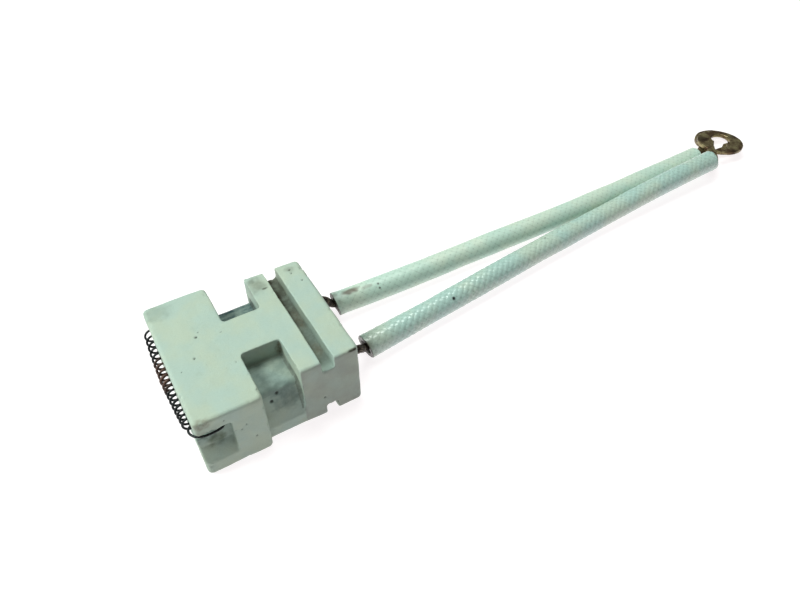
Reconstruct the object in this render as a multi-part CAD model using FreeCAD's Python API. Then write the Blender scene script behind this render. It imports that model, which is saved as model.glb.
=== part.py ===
import FreeCAD, Part
import math
import os

# Hot-coil ignition electrode: a pressed steatite block with a resistance coil across its front, and two
# sleeved leads out of its back, each ending in an open hook terminal. Millimetres.
# +X runs from the coil to the leads, +Z is up, and the block stands on Z = 0. The near side is -Y.
# The origin is under the middle of the block and its coil.

NEAR = -1
FAR = 1
SIDES = {"near": NEAR, "far": FAR}

# Ceramic block
body_length = 23.4
body_width = 20.5
body_height = 11.2
head_length = 9.2
head_width = 22.9
edge_radius = 0.7
top_edge_radius = 0.45

# Waist notches, one on each side, between the head and the rear of the block
notch_start = 9.2
notch_length = 5.6
waist_width = 6.8
ledge_height = 8.3
ledge_fall = 0.15
ledge_edge_inset = 1.85
ledge_edge_radius = 0.9
skirt_foot_height = 2.5
notch_corner_radius = 0.5

# Cross grooves over the top and under the bottom
groove_start = 17.8
groove_width = 1.85
groove_depth = 2.0
groove_corner_radius = 0.3

# Coil pocket in the front face, and the side recesses that the coil's tails run through
slab_thickness = 2.3
pocket_floor_clearance = 0.3
pocket_back_clearance = 0.85
recess_length = 4.6
recess_depth = 1.45
recess_foot_height = 4.6
recess_rim_height = 2.5

# Lead bores from the rear face, and the cross holes that join them to the recesses
bore_spacing = 12.0
bore_height = 5.6
bore_diameter = 2.2
bore_start = 3.0
cross_hole_diameter = 1.2
cross_hole_setback = 3.9
cross_hole_mouth_drop = 1.0

# Heater coil
wire_diameter = 0.3
coil_diameter = 1.9
coil_turns = 17.75
coil_near_pitch = 0.8
coil_near_inset = 3.1
coil_far_inset = 1.75
coil_end_reach = 0.02
coil_bow = 0.38
coil_roof_clearance = 0.2
points_per_turn = 12
tail_clearance = 0.05
tail_overhang = 0.05
near_tail_swing = (-0.8, 1.2)
near_tail_corner = 0.2
far_tail_swing = (0.95, 1.0)
far_tail_corner = 1.75
far_tail_inset = 0.7

# Leads
conductor_diameter = 1.3
ferrule_bore_clearance = 0.1
ferrule_length = 7.0
ferrule_setback = 4.0
fit_clearance = 0.02
cement_length = 3.0
cement_inset = 0.2
sleeve_diameter = 3.84
sleeve_bore = 2.6
exit_run = 1.9

# Hook terminals: a crimp barrel inside the sleeve's end, a neck, and an open ring on one side of the neck
barrel_sleeve_clearance = 0.15
barrel_length = 6.0
barrel_stand_out = 1.1
crimp_end_wall = 0.8
plate_thickness = 0.7
neck_width = 2.0
ring_diameter = 9.0
ring_hole = 3.8
ring_reach = 9.0
ring_offset = 1.5
hole_lead = 1.1
hole_drift = -0.1

# Placed values
coil_reach = coil_end_reach + coil_bow + coil_diameter / 2
front_x = (coil_reach - body_length) / 2
rear_x = front_x + body_length
slab_underside = body_height - slab_thickness
coil_radius = (coil_diameter - wire_diameter) / 2
coil_axis_z = slab_underside - coil_roof_clearance - coil_diameter / 2
coil_near_end = coil_near_inset - head_width / 2
coil_far_end = head_width / 2 - coil_far_inset
pocket_height = coil_roof_clearance + coil_diameter + pocket_floor_clearance
pocket_depth = coil_diameter / 2 - coil_end_reach + pocket_back_clearance
recess_wall = head_width / 2 - recess_depth
ledge_edge = body_width / 2 - ledge_edge_inset
skirt_foot = body_width / 2
cross_mouth_z = slab_underside - cross_hole_mouth_drop
bore_y = bore_spacing / 2
ferrule_diameter = bore_diameter - 2 * ferrule_bore_clearance
barrel_diameter = sleeve_bore - 2 * barrel_sleeve_clearance
ferrule_start = front_x + bore_start + ferrule_setback

# Route of each sleeve's centreline, from its cut end at the block to its cut end at the terminal: x from the
# rear face of the block, y and z in the block's frame. The near sleeve leans on the far one at its end.
SLEEVE_ROUTES = {
    "near": [
        (4.2, -3.4, 1.95),
        (20.8, -1.55, 1.95),
        (38.8, 0.75, 1.95),
        (55.8, 2.45, 1.98),
        (70.8, 3.3, 3.05),
        (85.1, 3.94, 3.3),
    ],
    "far": [
        (4.2, 7.1, 1.95),
        (16.8, 6.6, 1.95),
        (32.8, 6.75, 1.95),
        (49.8, 6.5, 1.95),
        (67.8, 7.05, 1.95),
        (85.4, 7.7, 1.95),
    ],
}

# Where each bare conductor comes down from its bore and turns into its sleeve.
CONDUCTOR_DROPS = {
    "near": [(3.5, -3.8, 2.2), (7.1, -3.05, 1.95)],
    "far": [(3.5, 6.9, 2.2), (7.1, 6.98, 1.95)],
}

# How far each terminal's flat plate is bent out of line with its sleeve, to the left and down, in degrees.
PLATE_YAW = {"near": 38.8, "far": 23.4}
PLATE_DIP = {"near": 3.5, "far": 2.0}

# Straight edges of the hook's opening, measured from the ring's centre: the neck's inner edge out to the mouth,
# then the ring's tapered end back from it. They leave just over three quarters of the hole's round wall.
HOOK_OPENING = [
    (-0.3, 1.18), (-2.2, 1.24), (-6.6, 0.5),
    (-5.4, 0.2), (-3.6, -0.65), (-1.9, -1.44), (-0.3, -1.38),
]

OPEN = 3.0  # how far a cutter runs past the face it opens


def vec(x, y, z):
    return FreeCAD.Vector(x, y, z)


def save(shape, node):
    """Write one sub-part, and print what it measures."""
    if not shape.isValid():
        raise ValueError(node + " is not a valid shape")
    shape.exportStep(os.path.join("parts", node + ".step"))
    print(node, "solids", len(shape.Solids), "volume", round(shape.Volume, 3))


def box(x0, x1, y0, y1, z0, z1):
    return Part.makeBox(x1 - x0, y1 - y0, z1 - z0, vec(x0, y0, z0))


def is_level_at(edge, z):
    """Whether an edge lies in the plane at height z."""
    return all(abs(vertex.Point.z - z) < 1e-6 for vertex in edge.Vertexes)


def rounded_box(x0, x1, y0, y1, z0, z1):
    """A box with a smaller radius round its top face than on its other edges."""
    block = box(x0, x1, y0, y1, z0, z1)
    block = block.makeFillet(edge_radius, [edge for edge in block.Edges if not is_level_at(edge, z1)])
    return block.makeFillet(top_edge_radius, [edge for edge in block.Edges if is_level_at(edge, z1)])


def x_cylinder(x0, x1, y, z, diameter):
    return Part.makeCylinder(diameter / 2, x1 - x0, vec(x0, y, z), vec(1, 0, 0))


def x_prism(x0, x1, outline):
    """A prism along X from an outline of (y, z) points."""
    points = [vec(x0, y, z) for y, z in outline]
    face = Part.Face(Part.makePolygon(points + points[:1]))
    return face.extrude(vec(x1 - x0, 0, 0))


def rounded_path(points):
    """Straight runs joined by tangent arcs, each as large as 0.45 of its shorter run allows."""
    edges = []
    radii = []
    start = points[0]
    for before, corner, after in zip(points, points[1:], points[2:]):
        back = before - corner
        ahead = after - corner
        reach = 0.45 * min(back.Length, ahead.Length)
        back.normalize()
        ahead.normalize()
        half_turn = (math.pi - back.getAngle(ahead)) / 2
        radius = reach / math.tan(half_turn)
        arc_start = corner + back * reach
        arc_end = corner + ahead * reach
        middle_direction = back + ahead
        middle_direction.normalize()
        arc_middle = corner + middle_direction * (radius / math.cos(half_turn) - radius)
        edges.append(Part.LineSegment(start, arc_start).toShape())
        edges.append(Part.Arc(arc_start, arc_middle, arc_end).toShape())
        radii.append(radius)
        start = arc_end
    edges.append(Part.LineSegment(start, points[-1]).toShape())
    return Part.Wire(edges), radii


def tube_along(path, start, direction, diameter):
    """A solid round tube along a path."""
    ring = Part.Wire(Part.Circle(start, direction, diameter / 2).toShape())
    return path.makePipeShell([ring], True, True)


def round_tube(points, diameter, name):
    """A round tube along a route, checked against its section times its length."""
    path, radii = rounded_path(points)
    tube = tube_along(path, points[0], points[1] - points[0], diameter)
    expected = math.pi * diameter ** 2 / 4 * path.Length
    print(name, "length", round(path.Length, 2), "radii", [round(r, 1) for r in radii],
          "volume over section x length", round(tube.Volume / expected, 5))
    return tube


def notch_cutter(side):
    """Waist notch: a straight inner wall, a ledge, then a steep skirt down to the side's foot. Its end faces
    and the foot of its wall are rounded into it, and the ledge runs over into the skirt in a larger round."""
    waist = waist_width / 2
    outer = head_width / 2 + OPEN
    ledge_drop = ledge_height - ledge_fall
    skirt_slope = (ledge_drop - skirt_foot_height) / (skirt_foot - ledge_edge)
    outline = [
        (side * waist, body_height + OPEN),
        (side * waist, ledge_height),
        (side * ledge_edge, ledge_drop),
        (side * outer, ledge_drop - skirt_slope * (outer - ledge_edge)),
        (side * outer, body_height + OPEN),
    ]
    start = front_x + notch_start
    end = start + notch_length
    cutter = x_prism(start, end, outline)
    crease = [edge for edge in cutter.Edges if is_level_at(edge, ledge_drop)]
    cutter = cutter.makeFillet(ledge_edge_radius, crease)
    corners = [edge for edge in cutter.Edges if is_notch_corner(edge, start, end, outer, side)]
    return cutter.makeFillet(notch_corner_radius, corners)


def is_notch_corner(edge, start, end, outer, side):
    """Whether an edge of the notch's cutter is inside the block, where a corner is to be rounded."""
    bounds = edge.BoundBox
    in_air = bounds.Center.z > body_height + OPEN / 2 or side * bounds.Center.y > outer - 1e-6
    at_end = min(abs(bounds.XMin - x) + abs(bounds.XMax - x) for x in (start, end)) < 1e-6
    return (at_end or is_level_at(edge, ledge_height)) and not in_air


def recess_cutter(side):
    """Side recess under the head's slab: a straight wall whose foot runs out to the side."""
    outer = head_width / 2 + OPEN
    rim = head_width / 2
    slope = (recess_foot_height - recess_rim_height) / (rim - recess_wall)
    outline = [
        (side * recess_wall, slab_underside),
        (side * recess_wall, recess_foot_height),
        (side * outer, recess_foot_height - slope * (outer - recess_wall)),
        (side * outer, slab_underside),
    ]
    return x_prism(front_x - OPEN, front_x + recess_length, outline)


def groove_cutter(z_floor, direction):
    """Cross groove that opens up (direction 1) or down (direction -1) from its floor."""
    start = front_x + groove_start
    height = groove_depth + OPEN
    low = z_floor if direction > 0 else z_floor - height
    reach = body_width / 2 + OPEN
    cutter = box(start, start + groove_width, -reach, reach, low, low + height)
    floor_edges = [
        edge for edge in cutter.Edges
        if all(abs(v.Point.z - z_floor) < 1e-6 for v in edge.Vertexes)
        and abs(edge.Vertexes[0].Point.x - edge.Vertexes[1].Point.x) < 1e-6
    ]
    return cutter.makeFillet(groove_corner_radius, floor_edges)


def lead_bore(side):
    """Blind bore from the rear face, and the cross hole that slants down into it from under the slab."""
    bore = x_cylinder(front_x + bore_start, rear_x + OPEN, side * bore_y, bore_height, bore_diameter)
    foot = vec(front_x + cross_hole_setback, side * bore_y, bore_height)
    slant = vec(0, side * (recess_wall - bore_y), cross_mouth_z - bore_height)
    cross = Part.makeCylinder(cross_hole_diameter / 2, slant.Length + cross_hole_diameter / 2, foot, slant)
    return bore.fuse(cross)


def ceramic_body():
    head = rounded_box(front_x, front_x + head_length, -head_width / 2, head_width / 2, 0, body_height)
    rear = rounded_box(front_x + head_length / 2, rear_x, -body_width / 2, body_width / 2, 0, body_height)
    pocket_reach = recess_wall + OPEN / 2
    pocket = box(front_x - OPEN, front_x + pocket_depth, -pocket_reach, pocket_reach,
                 slab_underside - pocket_height, slab_underside)
    cutters = [pocket, groove_cutter(body_height - groove_depth, 1), groove_cutter(groove_depth, -1)]
    for side in SIDES.values():
        cutters += [notch_cutter(side), recess_cutter(side), lead_bore(side)]
    return head.fuse(rear).removeSplitter().cut(cutters)


def coil_point(turn):
    """A point of the wound wire: the winding opens out towards the far end and bows forward in the middle."""
    span = coil_far_end - coil_near_end
    mean_pitch = span / coil_turns
    pitch_growth = 2 * (mean_pitch - coil_near_pitch) / coil_turns
    advance = coil_near_pitch * turn + pitch_growth * turn ** 2 / 2
    bow = coil_bow * math.sin(math.pi * advance / span)
    angle = 2 * math.pi * turn
    return vec(
        front_x - coil_end_reach - bow + coil_radius * math.cos(angle),
        coil_near_end + advance,
        coil_axis_z - coil_radius * math.sin(angle),
    )


def tail_points(side, start, direction):
    """One tail of the wire: on from the coil's end, round to the side of the head, back along the recess under
    its roof, in at the cross hole and along the bore into the splice ferrule. The near tail swings round the
    outside of the head's corner, and the far one turns inside the pocket."""
    wire_radius = wire_diameter / 2
    roof_z = slab_underside - tail_clearance - wire_radius
    outside_y = head_width / 2 + wire_radius - tail_overhang
    swing, corner, run_y = near_tail_swing, near_tail_corner, outside_y
    if side == FAR:
        swing, corner, run_y = far_tail_swing, far_tail_corner, outside_y - far_tail_inset
    rim_y = side * run_y
    hole_x = front_x + cross_hole_setback
    return [
        start,
        start + direction * 0.75,
        vec(front_x + swing[0], start.y + side * swing[1], roof_z - 0.1),
        vec(front_x + corner, rim_y, roof_z),
        vec(hole_x - 0.6, rim_y, roof_z),
        vec(hole_x, side * (recess_wall + 0.4), cross_mouth_z + 0.15),
        vec(hole_x + 0.1, side * (bore_y + 0.5), bore_height + 0.2),
        vec(ferrule_start - 0.8, side * bore_y, bore_height),
        vec(ferrule_start + ferrule_length / 4, side * bore_y, bore_height + 0.02),
    ]


def heater_coil():
    """The winding and both tails, in one unbroken wire."""
    count = round(coil_turns * points_per_turn)
    points = [coil_point(coil_turns * i / count) for i in range(count + 1)]
    winding = Part.BSplineCurve()
    winding.interpolate(points)
    away = winding.tangent(winding.FirstParameter)[0] * -1
    onward = winding.tangent(winding.LastParameter)[0]
    near_tail, near_radii = rounded_path(tail_points(NEAR, points[0], away))
    far_tail, far_radii = rounded_path(tail_points(FAR, points[-1], onward))
    path = Part.Wire(near_tail.Edges[::-1] + [winding.toShape()] + far_tail.Edges)
    start = tail_points(NEAR, points[0], away)[-1]
    coil = tube_along(path, start, vec(-1, 0, 0), wire_diameter)
    expected = math.pi * wire_diameter ** 2 / 4 * path.Length
    print("heater_coil length", round(path.Length, 2), "tail radii", [round(r, 2) for r in near_radii],
          [round(r, 2) for r in far_radii], "volume over section x length", round(coil.Volume / expected, 5))
    return coil


def splice_ferrule(side):
    start = ferrule_start
    outer = x_cylinder(start, start + ferrule_length, side * bore_y, bore_height, ferrule_diameter)
    bore = conductor_diameter + 2 * fit_clearance
    hole = x_cylinder(start - 1, start + ferrule_length + 1, side * bore_y, bore_height, bore)
    return outer.cut(hole)


def cement_plug(side):
    end = rear_x - cement_inset
    outer = x_cylinder(end - cement_length, end, side * bore_y, bore_height, bore_diameter)
    hole = x_cylinder(end - cement_length - 1, end + 1, side * bore_y, bore_height, conductor_diameter)
    return outer.cut(hole)


def sleeve_points(name):
    return [vec(rear_x + x, y, z) for x, y, z in SLEEVE_ROUTES[name]]


def conductor_points(name, side):
    """From the middle of the splice ferrule, out of the bore, down into the sleeve and along it."""
    ferrule_middle = ferrule_start + ferrule_length / 2
    drop = [vec(rear_x + x, y, z) for x, y, z in CONDUCTOR_DROPS[name]]
    along = sleeve_points(name)
    last_run = along[-1] - along[-2]
    last_run.normalize()
    end = along[-1] - last_run * crimp_end_wall
    return [
        vec(ferrule_middle, side * bore_y, bore_height),
        vec(rear_x + exit_run, side * bore_y, bore_height),
    ] + drop + along[1:-1] + [end]


def lead_conductor(name, side):
    return round_tube(conductor_points(name, side), conductor_diameter, name + "_lead_conductor")


def lead_sleeve(name):
    points = sleeve_points(name)
    outer = round_tube(points, sleeve_diameter, name + "_lead_sleeve")
    path, radii = rounded_path(points)
    inner = tube_along(path, points[0], points[1] - points[0], sleeve_bore)
    return outer.cut(inner)


def z_prism(outline, z, height):
    """A prism along Z from an outline of (x, y) points."""
    points = [vec(x, y, z) for x, y in outline]
    face = Part.Face(Part.makePolygon(points + points[:1]))
    return face.extrude(vec(0, 0, height))


def hook_plate():
    """The flat hook, centred on its own Z = 0: the neck runs along +X from the origin and the ring lies to its
    right. The opening is round at its far end and narrows to the mouth beside the neck."""
    half = neck_width / 2
    low = -plate_thickness / 2
    deep = 3 * low
    centre_y = -ring_offset
    ring = Part.makeCylinder(ring_diameter / 2, plate_thickness, vec(ring_reach, centre_y, low))
    pivot = Part.makeCylinder(half, plate_thickness, vec(0, 0, low))
    neck = box(0, ring_reach - ring_hole / 2, -half, half, low, -low)
    hole_centre = vec(ring_reach + hole_lead, centre_y + hole_drift, deep)
    hole = Part.makeCylinder(ring_hole / 2, 6 * -low, hole_centre)
    outline = [(ring_reach + x, centre_y + y) for x, y in HOOK_OPENING]
    opening = z_prism(outline, deep, 6 * -low)
    return ring.fuse([pivot, neck]).cut([hole, opening]).removeSplitter()


def hook_terminal(name):
    """Crimp barrel inside the sleeve's end, and the flat hook that stands out of it."""
    along = sleeve_points(name)
    end = along[-1]
    direction = end - along[-2]
    direction.normalize()
    barrel_start = end - direction * barrel_length
    barrel = Part.makeCylinder(barrel_diameter / 2, barrel_length + barrel_stand_out, barrel_start, direction)
    crimp_depth = barrel_length - crimp_end_wall + fit_clearance
    crimp = Part.makeCylinder(conductor_diameter / 2 + fit_clearance, crimp_depth, barrel_start, direction)
    plate = hook_plate()
    plate.rotate(vec(0, 0, 0), vec(0, 1, 0), PLATE_DIP[name])
    heading = math.degrees(math.atan2(direction.y, direction.x))
    plate.rotate(vec(0, 0, 0), vec(0, 0, 1), heading + PLATE_YAW[name])
    plate.translate(end + direction * barrel_stand_out + vec(0, 0, (plate_thickness - barrel_diameter) / 2))
    return barrel.fuse(plate).cut(crimp)


def main():
    os.makedirs("parts", exist_ok=True)
    save(ceramic_body(), "ceramic_body")
    save(heater_coil(), "heater_coil")
    for name, side in SIDES.items():
        save(splice_ferrule(side), name + "_splice_ferrule")
        save(cement_plug(side), name + "_cement_plug")
        save(lead_conductor(name, side), name + "_lead_conductor")
        save(lead_sleeve(name), name + "_lead_sleeve")
        save(hook_terminal(name), name + "_hook_terminal")


main()
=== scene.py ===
import math

import bpy
import numpy as np
from mathutils import Matrix, Vector


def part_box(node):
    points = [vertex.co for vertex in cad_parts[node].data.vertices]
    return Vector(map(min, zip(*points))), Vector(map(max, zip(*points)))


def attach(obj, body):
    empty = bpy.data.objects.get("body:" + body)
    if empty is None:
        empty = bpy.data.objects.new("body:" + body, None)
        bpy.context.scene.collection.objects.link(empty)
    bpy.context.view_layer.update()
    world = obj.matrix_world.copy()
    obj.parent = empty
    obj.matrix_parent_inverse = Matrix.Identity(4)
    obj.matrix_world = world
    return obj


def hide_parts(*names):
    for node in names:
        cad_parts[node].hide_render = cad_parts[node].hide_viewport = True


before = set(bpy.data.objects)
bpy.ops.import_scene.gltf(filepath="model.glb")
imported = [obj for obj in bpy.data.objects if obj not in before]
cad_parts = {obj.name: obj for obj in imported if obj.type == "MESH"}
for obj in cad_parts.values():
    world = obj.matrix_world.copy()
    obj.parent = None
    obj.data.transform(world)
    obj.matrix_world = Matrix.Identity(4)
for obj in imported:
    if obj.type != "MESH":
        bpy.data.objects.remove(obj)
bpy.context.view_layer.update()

# Hot-coil ignition electrode: the looks of its twelve parts, a pale floor, soft light and the camera.
# Lengths are in millimetres unless a name or comment says otherwise, in the CAD part's frame: +X runs from the
# coil to the leads, +Z is up, and the near side is -Y.
MM = 0.001
SIDES = {"near": -1, "far": 1}
rng = np.random.default_rng(7)


# ---------------------------------------------------------------- shared tools

def collect(objects_data, name):
    """Links a datablock to the scene as an object."""
    made = bpy.data.objects.new(name, objects_data)
    bpy.context.scene.collection.objects.link(made)
    return made


def mesh_object(name, points_mm, faces, smooth=True):
    """A mesh object from points in millimetres."""
    mesh = bpy.data.meshes.new(name)
    mesh.from_pydata((np.asarray(points_mm) * MM).tolist(), [], [list(map(int, f)) for f in faces])
    mesh.update()
    if smooth:
        mesh.polygons.foreach_set("use_smooth", [True] * len(mesh.polygons))
    return collect(mesh, name)


def set_attribute(piece, name, values):
    """Stores one number per vertex for the material to read."""
    layer = piece.data.attributes.new(name, "FLOAT", "POINT")
    layer.data.foreach_set("value", np.asarray(values, np.float32))


def stand_in(piece, node, material):
    """Finishes a piece that takes a CAD node's place."""
    piece.data.materials.append(material)
    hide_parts(node)
    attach(piece, "root")


def smoothstep(low, high, value):
    t = np.clip((np.asarray(value, float) - low) / (high - low), 0, 1)
    return t * t * (3 - 2 * t)


def fading(low, high, value):
    """1 below low, 0 above high."""
    return 1 - smoothstep(low, high, value)


def hash_grid(cells, seed):
    """A repeatable number from 0 to 1 for each whole-number cell, scrambled by large odd factors."""
    c = cells.astype(np.int64)
    h = c[:, 0] * 374761393 + c[:, 1] * 668265263 + c[:, 2] * 2147483647 + seed * 974634777
    h = (h ^ (h >> 13)) * 1274126177
    h = (h ^ (h >> 16)) & 0xFFFFFF
    return h / float(0xFFFFFF)


def value_noise(points, size, seed):
    """Smooth noise from -1 to 1 with features of about that size."""
    p = np.asarray(points, float) / size
    base = np.floor(p)
    f = p - base
    f = f * f * (3 - 2 * f)
    total = np.zeros(len(p))
    for dx in (0, 1):
        for dy in (0, 1):
            for dz in (0, 1):
                weight = (
                    (f[:, 0] if dx else 1 - f[:, 0])
                    * (f[:, 1] if dy else 1 - f[:, 1])
                    * (f[:, 2] if dz else 1 - f[:, 2])
                )
                total += weight * hash_grid(base + [dx, dy, dz], seed)
    return total * 2 - 1


def ring_noise(angle, spread, third, seed):
    """Smooth noise round a ring: the more spread, the more bumps go round it."""
    places = np.stack([np.cos(angle) * spread, np.sin(angle) * spread, angle * 0 + third], axis=1)
    return value_noise(places, 1.0, seed)


def route_line(points_mm, resolution):
    """The points of an open NURBS spline of order 3 through a chosen route, in millimetres."""
    data = bpy.data.curves.new("route", "CURVE")
    data.dimensions = "3D"
    spline = data.splines.new("NURBS")
    spline.points.add(len(points_mm) - 1)
    for slot, point in zip(spline.points, points_mm):
        slot.co = (point[0] * MM, point[1] * MM, point[2] * MM, 1)
    spline.order_u = 3
    spline.use_endpoint_u = True
    data.resolution_u = resolution
    holder = bpy.data.objects.new("route", data)
    mesh = bpy.data.meshes.new_from_object(holder)
    line = np.array([v.co for v in mesh.vertices], float).reshape(-1, 3) / MM
    bpy.data.meshes.remove(mesh)
    bpy.data.objects.remove(holder)
    bpy.data.curves.remove(data)
    return line


def distances_along(line):
    return np.concatenate([[0], np.cumsum(np.linalg.norm(np.diff(line, axis=0), axis=1))])


def respaced(line, step):
    """The same line with points about step apart, and the distance of each along it."""
    along = distances_along(line)
    at = np.linspace(0, along[-1], max(2, int(math.ceil(along[-1] / step)) + 1))
    return np.stack([np.interp(at, along, line[:, k]) for k in range(3)], axis=1), at


def unit(vector):
    return vector / np.linalg.norm(vector)


def frames_along(line):
    """Directions that follow a line without twisting: tangent, side, up."""
    tangent = np.gradient(line, axis=0)
    tangent /= np.linalg.norm(tangent, axis=1)[:, None]
    side = np.zeros_like(line)
    first = np.cross([0, 0, 1.0], tangent[0])
    if np.linalg.norm(first) < 1e-6:
        first = np.array([0, 1.0, 0])
    side[0] = unit(first)
    for i in range(1, len(line)):
        side[i] = unit(side[i - 1] - tangent[i] * (side[i - 1] @ tangent[i]))
    return tangent, side, np.cross(tangent, side)


def outward(side, up, angle):
    """For each point of a line, the directions from it to the points of a ring round it."""
    return side[:, None] * np.cos(angle)[None, :, None] + up[:, None] * np.sin(angle)[None, :, None]


def tube_faces(rings, around, offset=0):
    """Quads between rings of points."""
    i = np.arange(rings - 1)[:, None]
    j = np.arange(around)[None, :]
    a = offset + i * around + j
    b = offset + i * around + (j + 1) % around
    return np.stack([a, b, b + around, a + around], axis=2).reshape(-1, 4)


def wire_mesh(line, radius, around, offset=0):
    """A solid round wire along a line, with closed ends. Its radius is one number, or one for each point."""
    _, side, up = frames_along(line)
    ring = outward(side, up, np.linspace(0, 2 * math.pi, around, endpoint=False))
    points = (line[:, None] + ring * np.broadcast_to(radius, (len(line),))[:, None, None]).reshape(-1, 3)
    faces = tube_faces(len(line), around, offset).tolist()
    last = offset + (len(line) - 1) * around
    faces.append(list(range(offset + around - 1, offset - 1, -1)))
    faces.append(list(range(last, last + around)))
    return points, faces


def remeshed(node, voxel):
    """A CAD node's shape as an even, closed mesh of small quads, in millimetres."""
    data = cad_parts[node].data.copy()
    data.transform(Matrix.Scale(1 / MM, 4))
    data.materials.clear()
    holder = collect(data, "remesh_source")
    modifier = holder.modifiers.new("remesh", "REMESH")
    modifier.mode = "VOXEL"
    modifier.voxel_size = voxel
    graph = bpy.context.evaluated_depsgraph_get()
    mesh = bpy.data.meshes.new_from_object(holder.evaluated_get(graph))
    points = np.zeros(len(mesh.vertices) * 3)
    mesh.vertices.foreach_get("co", points)
    quads = np.array([tuple(p.vertices) for p in mesh.polygons], int)
    bpy.data.objects.remove(holder)
    bpy.data.meshes.remove(data)
    bpy.data.meshes.remove(mesh)
    return points.reshape(-1, 3), quads


def edges_of(quads):
    pairs = np.concatenate([quads[:, [0, 1]], quads[:, [1, 2]], quads[:, [2, 3]], quads[:, [3, 0]]])
    return np.unique(np.sort(pairs, axis=1), axis=0)


def relaxed(points, edges, rounds):
    """Points moved, round after round, half way to the middle of their neighbours."""
    count = np.bincount(edges.ravel(), minlength=len(points)).astype(float)[:, None]
    p = points.copy()
    for _ in range(rounds):
        total = np.zeros_like(p)
        for k in range(3):
            total[:, k] = np.bincount(edges[:, 0], p[edges[:, 1], k], len(p))
            total[:, k] += np.bincount(edges[:, 1], p[edges[:, 0], k], len(p))
        p += 0.5 * (total / count - p)
    return p


def normals_of(points, quads):
    n = np.cross(points[quads[:, 2]] - points[quads[:, 0]], points[quads[:, 3]] - points[quads[:, 1]])
    total = np.zeros_like(points)
    for corner in range(4):
        for k in range(3):
            total[:, k] += np.bincount(quads[:, corner], n[:, k], len(points))
    return total / np.maximum(np.linalg.norm(total, axis=1), 1e-12)[:, None]


def softened(node, voxel, rounds):
    """A CAD node's remeshed shape with its edges eased: points, quads and the normal at each point."""
    points, quads = remeshed(node, voxel)
    points = relaxed(points, edges_of(quads), rounds)
    return points, quads, normals_of(points, quads)


# ---------------------------------------------------------------- materials

class Paint:
    """A material and short ways to add nodes to it. Positions are in millimetres in the part's frame."""

    def __init__(self, name):
        self.material = bpy.data.materials.new(name)
        self.material.use_nodes = True
        self.tree = self.material.node_tree
        self.shader = self.tree.nodes["Principled BSDF"]
        coordinates = self.tree.nodes.new("ShaderNodeTexCoord")
        scale = self.tree.nodes.new("ShaderNodeVectorMath")
        scale.operation = "SCALE"
        scale.inputs["Scale"].default_value = 1 / MM
        self.link(coordinates.outputs["Object"], scale.inputs[0])
        self.position = scale.outputs[0]

    def link(self, source, target):
        self.tree.links.new(source, target)

    def put(self, target, value):
        """Sets an input, or links it where value is another node's output."""
        if isinstance(value, bpy.types.NodeSocket):
            self.link(value, target)
        else:
            target.default_value = value

    def noise(self, size, detail=3.0, roughness=0.55, position=None):
        """Noise with features of about that size in millimetres, round the middle value 0.5."""
        node = self.tree.nodes.new("ShaderNodeTexNoise")
        self.link(position or self.position, node.inputs["Vector"])
        node.inputs["Scale"].default_value = 1 / size
        node.inputs["Detail"].default_value = detail
        node.inputs["Roughness"].default_value = roughness
        return node.outputs["Fac"]

    def stretched(self, x, y, z):
        """The position scaled along each axis: a small factor draws features out along it."""
        node = self.tree.nodes.new("ShaderNodeVectorMath")
        node.operation = "MULTIPLY"
        self.link(self.position, node.inputs[0])
        node.inputs[1].default_value = (x, y, z)
        return node.outputs[0]

    def attribute(self, name):
        node = self.tree.nodes.new("ShaderNodeAttribute")
        node.attribute_name = name
        return node.outputs["Fac"]

    def ramp(self, value, low, high, low_to=0.0, high_to=1.0):
        """A smooth step from low_to, where value is low, to high_to, where it is high."""
        node = self.tree.nodes.new("ShaderNodeMapRange")
        node.interpolation_type = "SMOOTHSTEP"
        self.put(node.inputs["Value"], value)
        node.inputs["From Min"].default_value = low
        node.inputs["From Max"].default_value = high
        node.inputs["To Min"].default_value = low_to
        node.inputs["To Max"].default_value = high_to
        return node.outputs["Result"]

    def math(self, operation, a, b):
        node = self.tree.nodes.new("ShaderNodeMath")
        node.operation = operation
        self.put(node.inputs[0], a)
        self.put(node.inputs[1], b)
        return node.outputs[0]

    def mix(self, share, a, b):
        """Colour a with that share of colour b."""
        node = self.tree.nodes.new("ShaderNodeMix")
        node.data_type = "RGBA"
        sockets = [s for s in node.inputs if s.type == "RGBA"]
        self.put(node.inputs["Factor"], share)
        self.put(sockets[0], a)
        self.put(sockets[1], b)
        return [s for s in node.outputs if s.type == "RGBA"][0]

    def bump(self, height, distance_mm, strength):
        node = self.tree.nodes.new("ShaderNodeBump")
        node.inputs["Strength"].default_value = strength
        node.inputs["Distance"].default_value = distance_mm * MM
        self.link(height, node.inputs["Height"])
        self.link(node.outputs["Normal"], self.shader.inputs["Normal"])

    def set(self, **values):
        """Sets the shader's own inputs, with _ for each space in their names."""
        for name, value in values.items():
            self.put(self.shader.inputs[name.replace("_", " ")], value)


def rgb(red, green, blue):
    """A colour given as 0 to 255 on screen, as the linear values a shader uses."""
    def linear(c):
        c /= 255
        return c / 12.92 if c <= 0.04045 else ((c + 0.055) / 1.055) ** 2.4
    return (linear(red), linear(green), linear(blue), 1.0)


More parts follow.
